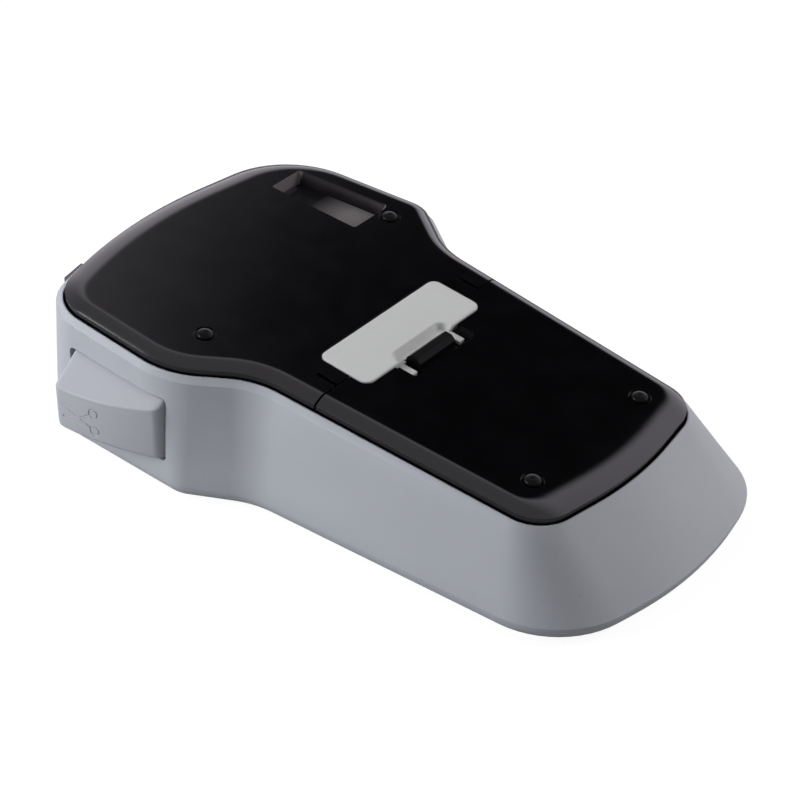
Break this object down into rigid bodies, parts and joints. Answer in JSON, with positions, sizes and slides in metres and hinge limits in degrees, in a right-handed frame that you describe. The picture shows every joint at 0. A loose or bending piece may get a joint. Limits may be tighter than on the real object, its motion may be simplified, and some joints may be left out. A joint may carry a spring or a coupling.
{
  "type": "handheld label printer",
  "caption": "Handheld label printer lying on its front: grey case, black cassette and battery doors, side cutter lever, keypad, display and a geared tape drive inside.",
  "frame": {"origin": "on the flat front face, midway across, on the bare strip between the letter keys and the function keys", "axes": "+Z out of the back, as the printer lies on its front; +Y towards the tape exit; +X away from the cutter lever"},
  "size_m": [0.1381, 0.2151, 0.0544],
  "materials": {
    "case_grey": "satin light grey moulded plastic",
    "front_charcoal": "matte charcoal plastic",
    "frame_dark": "matte dark grey plastic",
    "door_black": "fine-grained black plastic with a soft sheen",
    "latch_black": "smooth black plastic",
    "tab_light": "satin light grey plastic",
    "window_smoked": "smoked clear plastic",
    "foot_black": "smooth black rubber",
    "lever_grey": "satin light grey plastic",
    "steel": "plain steel",
    "blade_steel": "ground steel",
    "mouth_dark": "matte dark plastic",
    "head_ceramic": "glazed ceramic",
    "pressed_steel": "pressed sheet steel",
    "platen_rubber": "ground rubber",
    "gear_white": "natural acetal",
    "motor_steel": "drawn steel can",
    "pinion_brass": "machined brass",
    "cassette_white": "matte off-white plastic",
    "tape_white": "satin white film",
    "ribbon_dark": "dark film",
    "cell_sleeve": "plain blue-grey sleeve",
    "board_green": "solder resist",
    "chip_black": "moulded black plastic",
    "lcd_grey": "grey-green display glass",
    "lens_clear": "clear plastic",
    "flex_amber": "amber film",
    "key_light": "satin light grey rubber",
    "key_blue": "satin blue rubber",
    "key_red": "satin red rubber"
  },
  "bodies": {
    "case": {"rear_case": "case_grey", "front_cover": "front_charcoal", "inner_frame": "frame_dark", "centre_tab": "tab_light", "cutter_pivot_pin": "steel", "cutter_return_spring": "steel", "cutter_bracket": "frame_dark", "tape_exit_mouth": "mouth_dark", "print_head": "head_ceramic", "print_head_bracket": "pressed_steel", "drive_motor": "motor_steel", "idler_pin": "steel", "cassette_shell": "cassette_white", "cassette_lid": "cassette_white", "label_tape": "tape_white", "batteries": "cell_sleeve", "battery_springs": "steel", "battery_contacts": "steel", "main_board": "board_green", "board_chips": "chip_black", "board_screws": "steel", "case_screws": "steel", "lcd_panel": "lcd_grey", "display_lens": "lens_clear", "lcd_flex": "flex_amber", "keypad_mat": "key_light", "power_inlet": "chip_black", "cassette_switch": "chip_black", "door_hinge_pins": "steel"},
    "cassette_door": {"cassette_door": "door_black", "window_pane": "window_smoked", "cassette_door_feet": "foot_black"},
    "battery_door": {"battery_door": "door_black", "battery_door_feet": "foot_black"},
    "battery_latch": {"battery_latch": "latch_black"},
    "cutter": {"cutter_lever": "lever_grey", "cutter_blade": "blade_steel"},
    "motor_rotor": {"motor_shaft": "steel", "motor_pinion": "pinion_brass"},
    "idler": {"idler_gear": "gear_white"},
    "platen": {"platen_roller": "platen_rubber", "platen_shaft": "steel", "platen_gear": "gear_white"},
    "takeup": {"takeup_spindle": "gear_white", "used_ribbon_roll": "ribbon_dark"},
    "tape_supply": {"tape_roll": "tape_white"},
    "ribbon_supply": {"ribbon_roll": "ribbon_dark"},
    "ok_key": {"ok_key": "key_blue"},
    "up_key": {"up_key": "key_light"},
    "down_key": {"down_key": "key_light"},
    "left_key": {"left_key": "key_light"},
    "right_key": {"right_key": "key_light"},
    "power_key": {"power_key": "key_red"},
    "print_key": {"print_key": "key_blue"},
    "back_key": {"back_key": "key_light"},
    "format_key": {"format_key": "key_light"},
    "settings_key": {"settings_key": "key_light"},
    "symbol_key": {"symbol_key": "key_light"},
    "save_key": {"save_key": "key_light"}
  },
  "joints": [
    {"name": "cassette_door_hinge", "type": "hinge", "parent": "case", "child": "cassette_door", "pos_m": [0, 0.10675, 0.0505], "axis": [-1, 0, 0], "range_deg": [0, 75]},
    {"name": "battery_door_hinge", "type": "hinge", "parent": "case", "child": "battery_door", "pos_m": [0, -0.05884, 0.0331], "axis": [1, 0, 0], "range_deg": [0, 70]},
    {"name": "battery_latch_slide", "type": "slide", "parent": "battery_door", "child": "battery_latch", "axis": [0, -0.9945, -0.1045], "range_m": [0, 0.0012], "stiffness_N_per_m": 600, "springref_m": -0.001},
    {"name": "cutter_press", "type": "hinge", "parent": "case", "child": "cutter", "pos_m": [-0.0588, 0.0695, 0.025], "axis": [0, 0, -1], "range_deg": [0, 10], "stiffness_Nm_per_rad": 0.6, "springref_deg": -2.86},
    {"name": "idler_spin", "type": "hinge", "parent": "case", "child": "idler", "pos_m": [-0.02585, 0.07858, 0.05076], "axis": [0, -0.1045, 0.9945], "continuous": true},
    {"name": "motor_spin", "type": "hinge", "parent": "case", "child": "motor_rotor", "pos_m": [-0.0376, 0.06663, 0.0495], "axis": [0, -0.1045, 0.9945], "continuous": true},
    {"name": "platen_spin", "type": "hinge", "parent": "case", "child": "platen", "pos_m": [-0.039, 0.09249, 0.05222], "axis": [0, -0.1045, 0.9945], "continuous": true},
    {"name": "takeup_spin", "type": "hinge", "parent": "case", "child": "takeup", "pos_m": [-0.00653, 0.08372, 0.0513], "axis": [0, -0.1045, 0.9945], "continuous": true},
    {"name": "tape_roll_spin", "type": "hinge", "parent": "case", "child": "tape_supply", "pos_m": [0.0253, 0.07678, 0.05057], "axis": [0, -0.1045, 0.9945], "continuous": true},
    {"name": "ribbon_spin", "type": "hinge", "parent": "case", "child": "ribbon_supply", "pos_m": [-0.0138, 0.06882, 0.04973], "axis": [0, -0.1045, 0.9945], "continuous": true},
    {"name": "ok_key_press", "type": "slide", "parent": "case", "child": "ok_key", "axis": [0, 0, 1], "range_m": [0, 0.0008], "stiffness_N_per_m": 400, "springref_m": -0.0005},
    {"name": "up_key_press", "type": "slide", "parent": "case", "child": "up_key", "axis": [0, 0, 1], "range_m": [0, 0.0008], "stiffness_N_per_m": 400, "springref_m": -0.0005},
    {"name": "down_key_press", "type": "slide", "parent": "case", "child": "down_key", "axis": [0, 0, 1], "range_m": [0, 0.0008], "stiffness_N_per_m": 400, "springref_m": -0.0005},
    {"name": "left_key_press", "type": "slide", "parent": "case", "child": "left_key", "axis": [0, 0, 1], "range_m": [0, 0.0008], "stiffness_N_per_m": 400, "springref_m": -0.0005},
    {"name": "right_key_press", "type": "slide", "parent": "case", "child": "right_key", "axis": [0, 0, 1], "range_m": [0, 0.0008], "stiffness_N_per_m": 400, "springref_m": -0.0005},
    {"name": "power_key_press", "type": "slide", "parent": "case", "child": "power_key", "axis": [0, 0, 1], "range_m": [0, 0.0008], "stiffness_N_per_m": 400, "springref_m": -0.0005},
    {"name": "print_key_press", "type": "slide", "parent": "case", "child": "print_key", "axis": [0, 0, 1], "range_m": [0, 0.0008], "stiffness_N_per_m": 400, "springref_m": -0.0005},
    {"name": "back_key_press", "type": "slide", "parent": "case", "child": "back_key", "axis": [0, 0, 1], "range_m": [0, 0.0008], "stiffness_N_per_m": 400, "springref_m": -0.0005},
    {"name": "format_key_press", "type": "slide", "parent": "case", "child": "format_key", "axis": [0, 0, 1], "range_m": [0, 0.0008], "stiffness_N_per_m": 400, "springref_m": -0.0005},
    {"name": "settings_key_press", "type": "slide", "parent": "case", "child": "settings_key", "axis": [0, 0, 1], "range_m": [0, 0.0008], "stiffness_N_per_m": 400, "springref_m": -0.0005},
    {"name": "symbol_key_press", "type": "slide", "parent": "case", "child": "symbol_key", "axis": [0, 0, 1], "range_m": [0, 0.0008], "stiffness_N_per_m": 400, "springref_m": -0.0005},
    {"name": "save_key_press", "type": "slide", "parent": "case", "child": "save_key", "axis": [0, 0, 1], "range_m": [0, 0.0008], "stiffness_N_per_m": 400, "springref_m": -0.0005}
  ],
  "couplings": [
    {"joint": "motor_spin", "follows": "idler_spin", "ratio": -2.5},
    {"joint": "platen_spin", "follows": "idler_spin", "ratio": -1.6667},
    {"joint": "takeup_spin", "follows": "idler_spin", "ratio": -1.5},
    {"joint": "tape_roll_spin", "follows": "idler_spin", "ratio": 0.44444},
    {"joint": "ribbon_spin", "follows": "idler_spin", "ratio": 1.125}
  ]
}
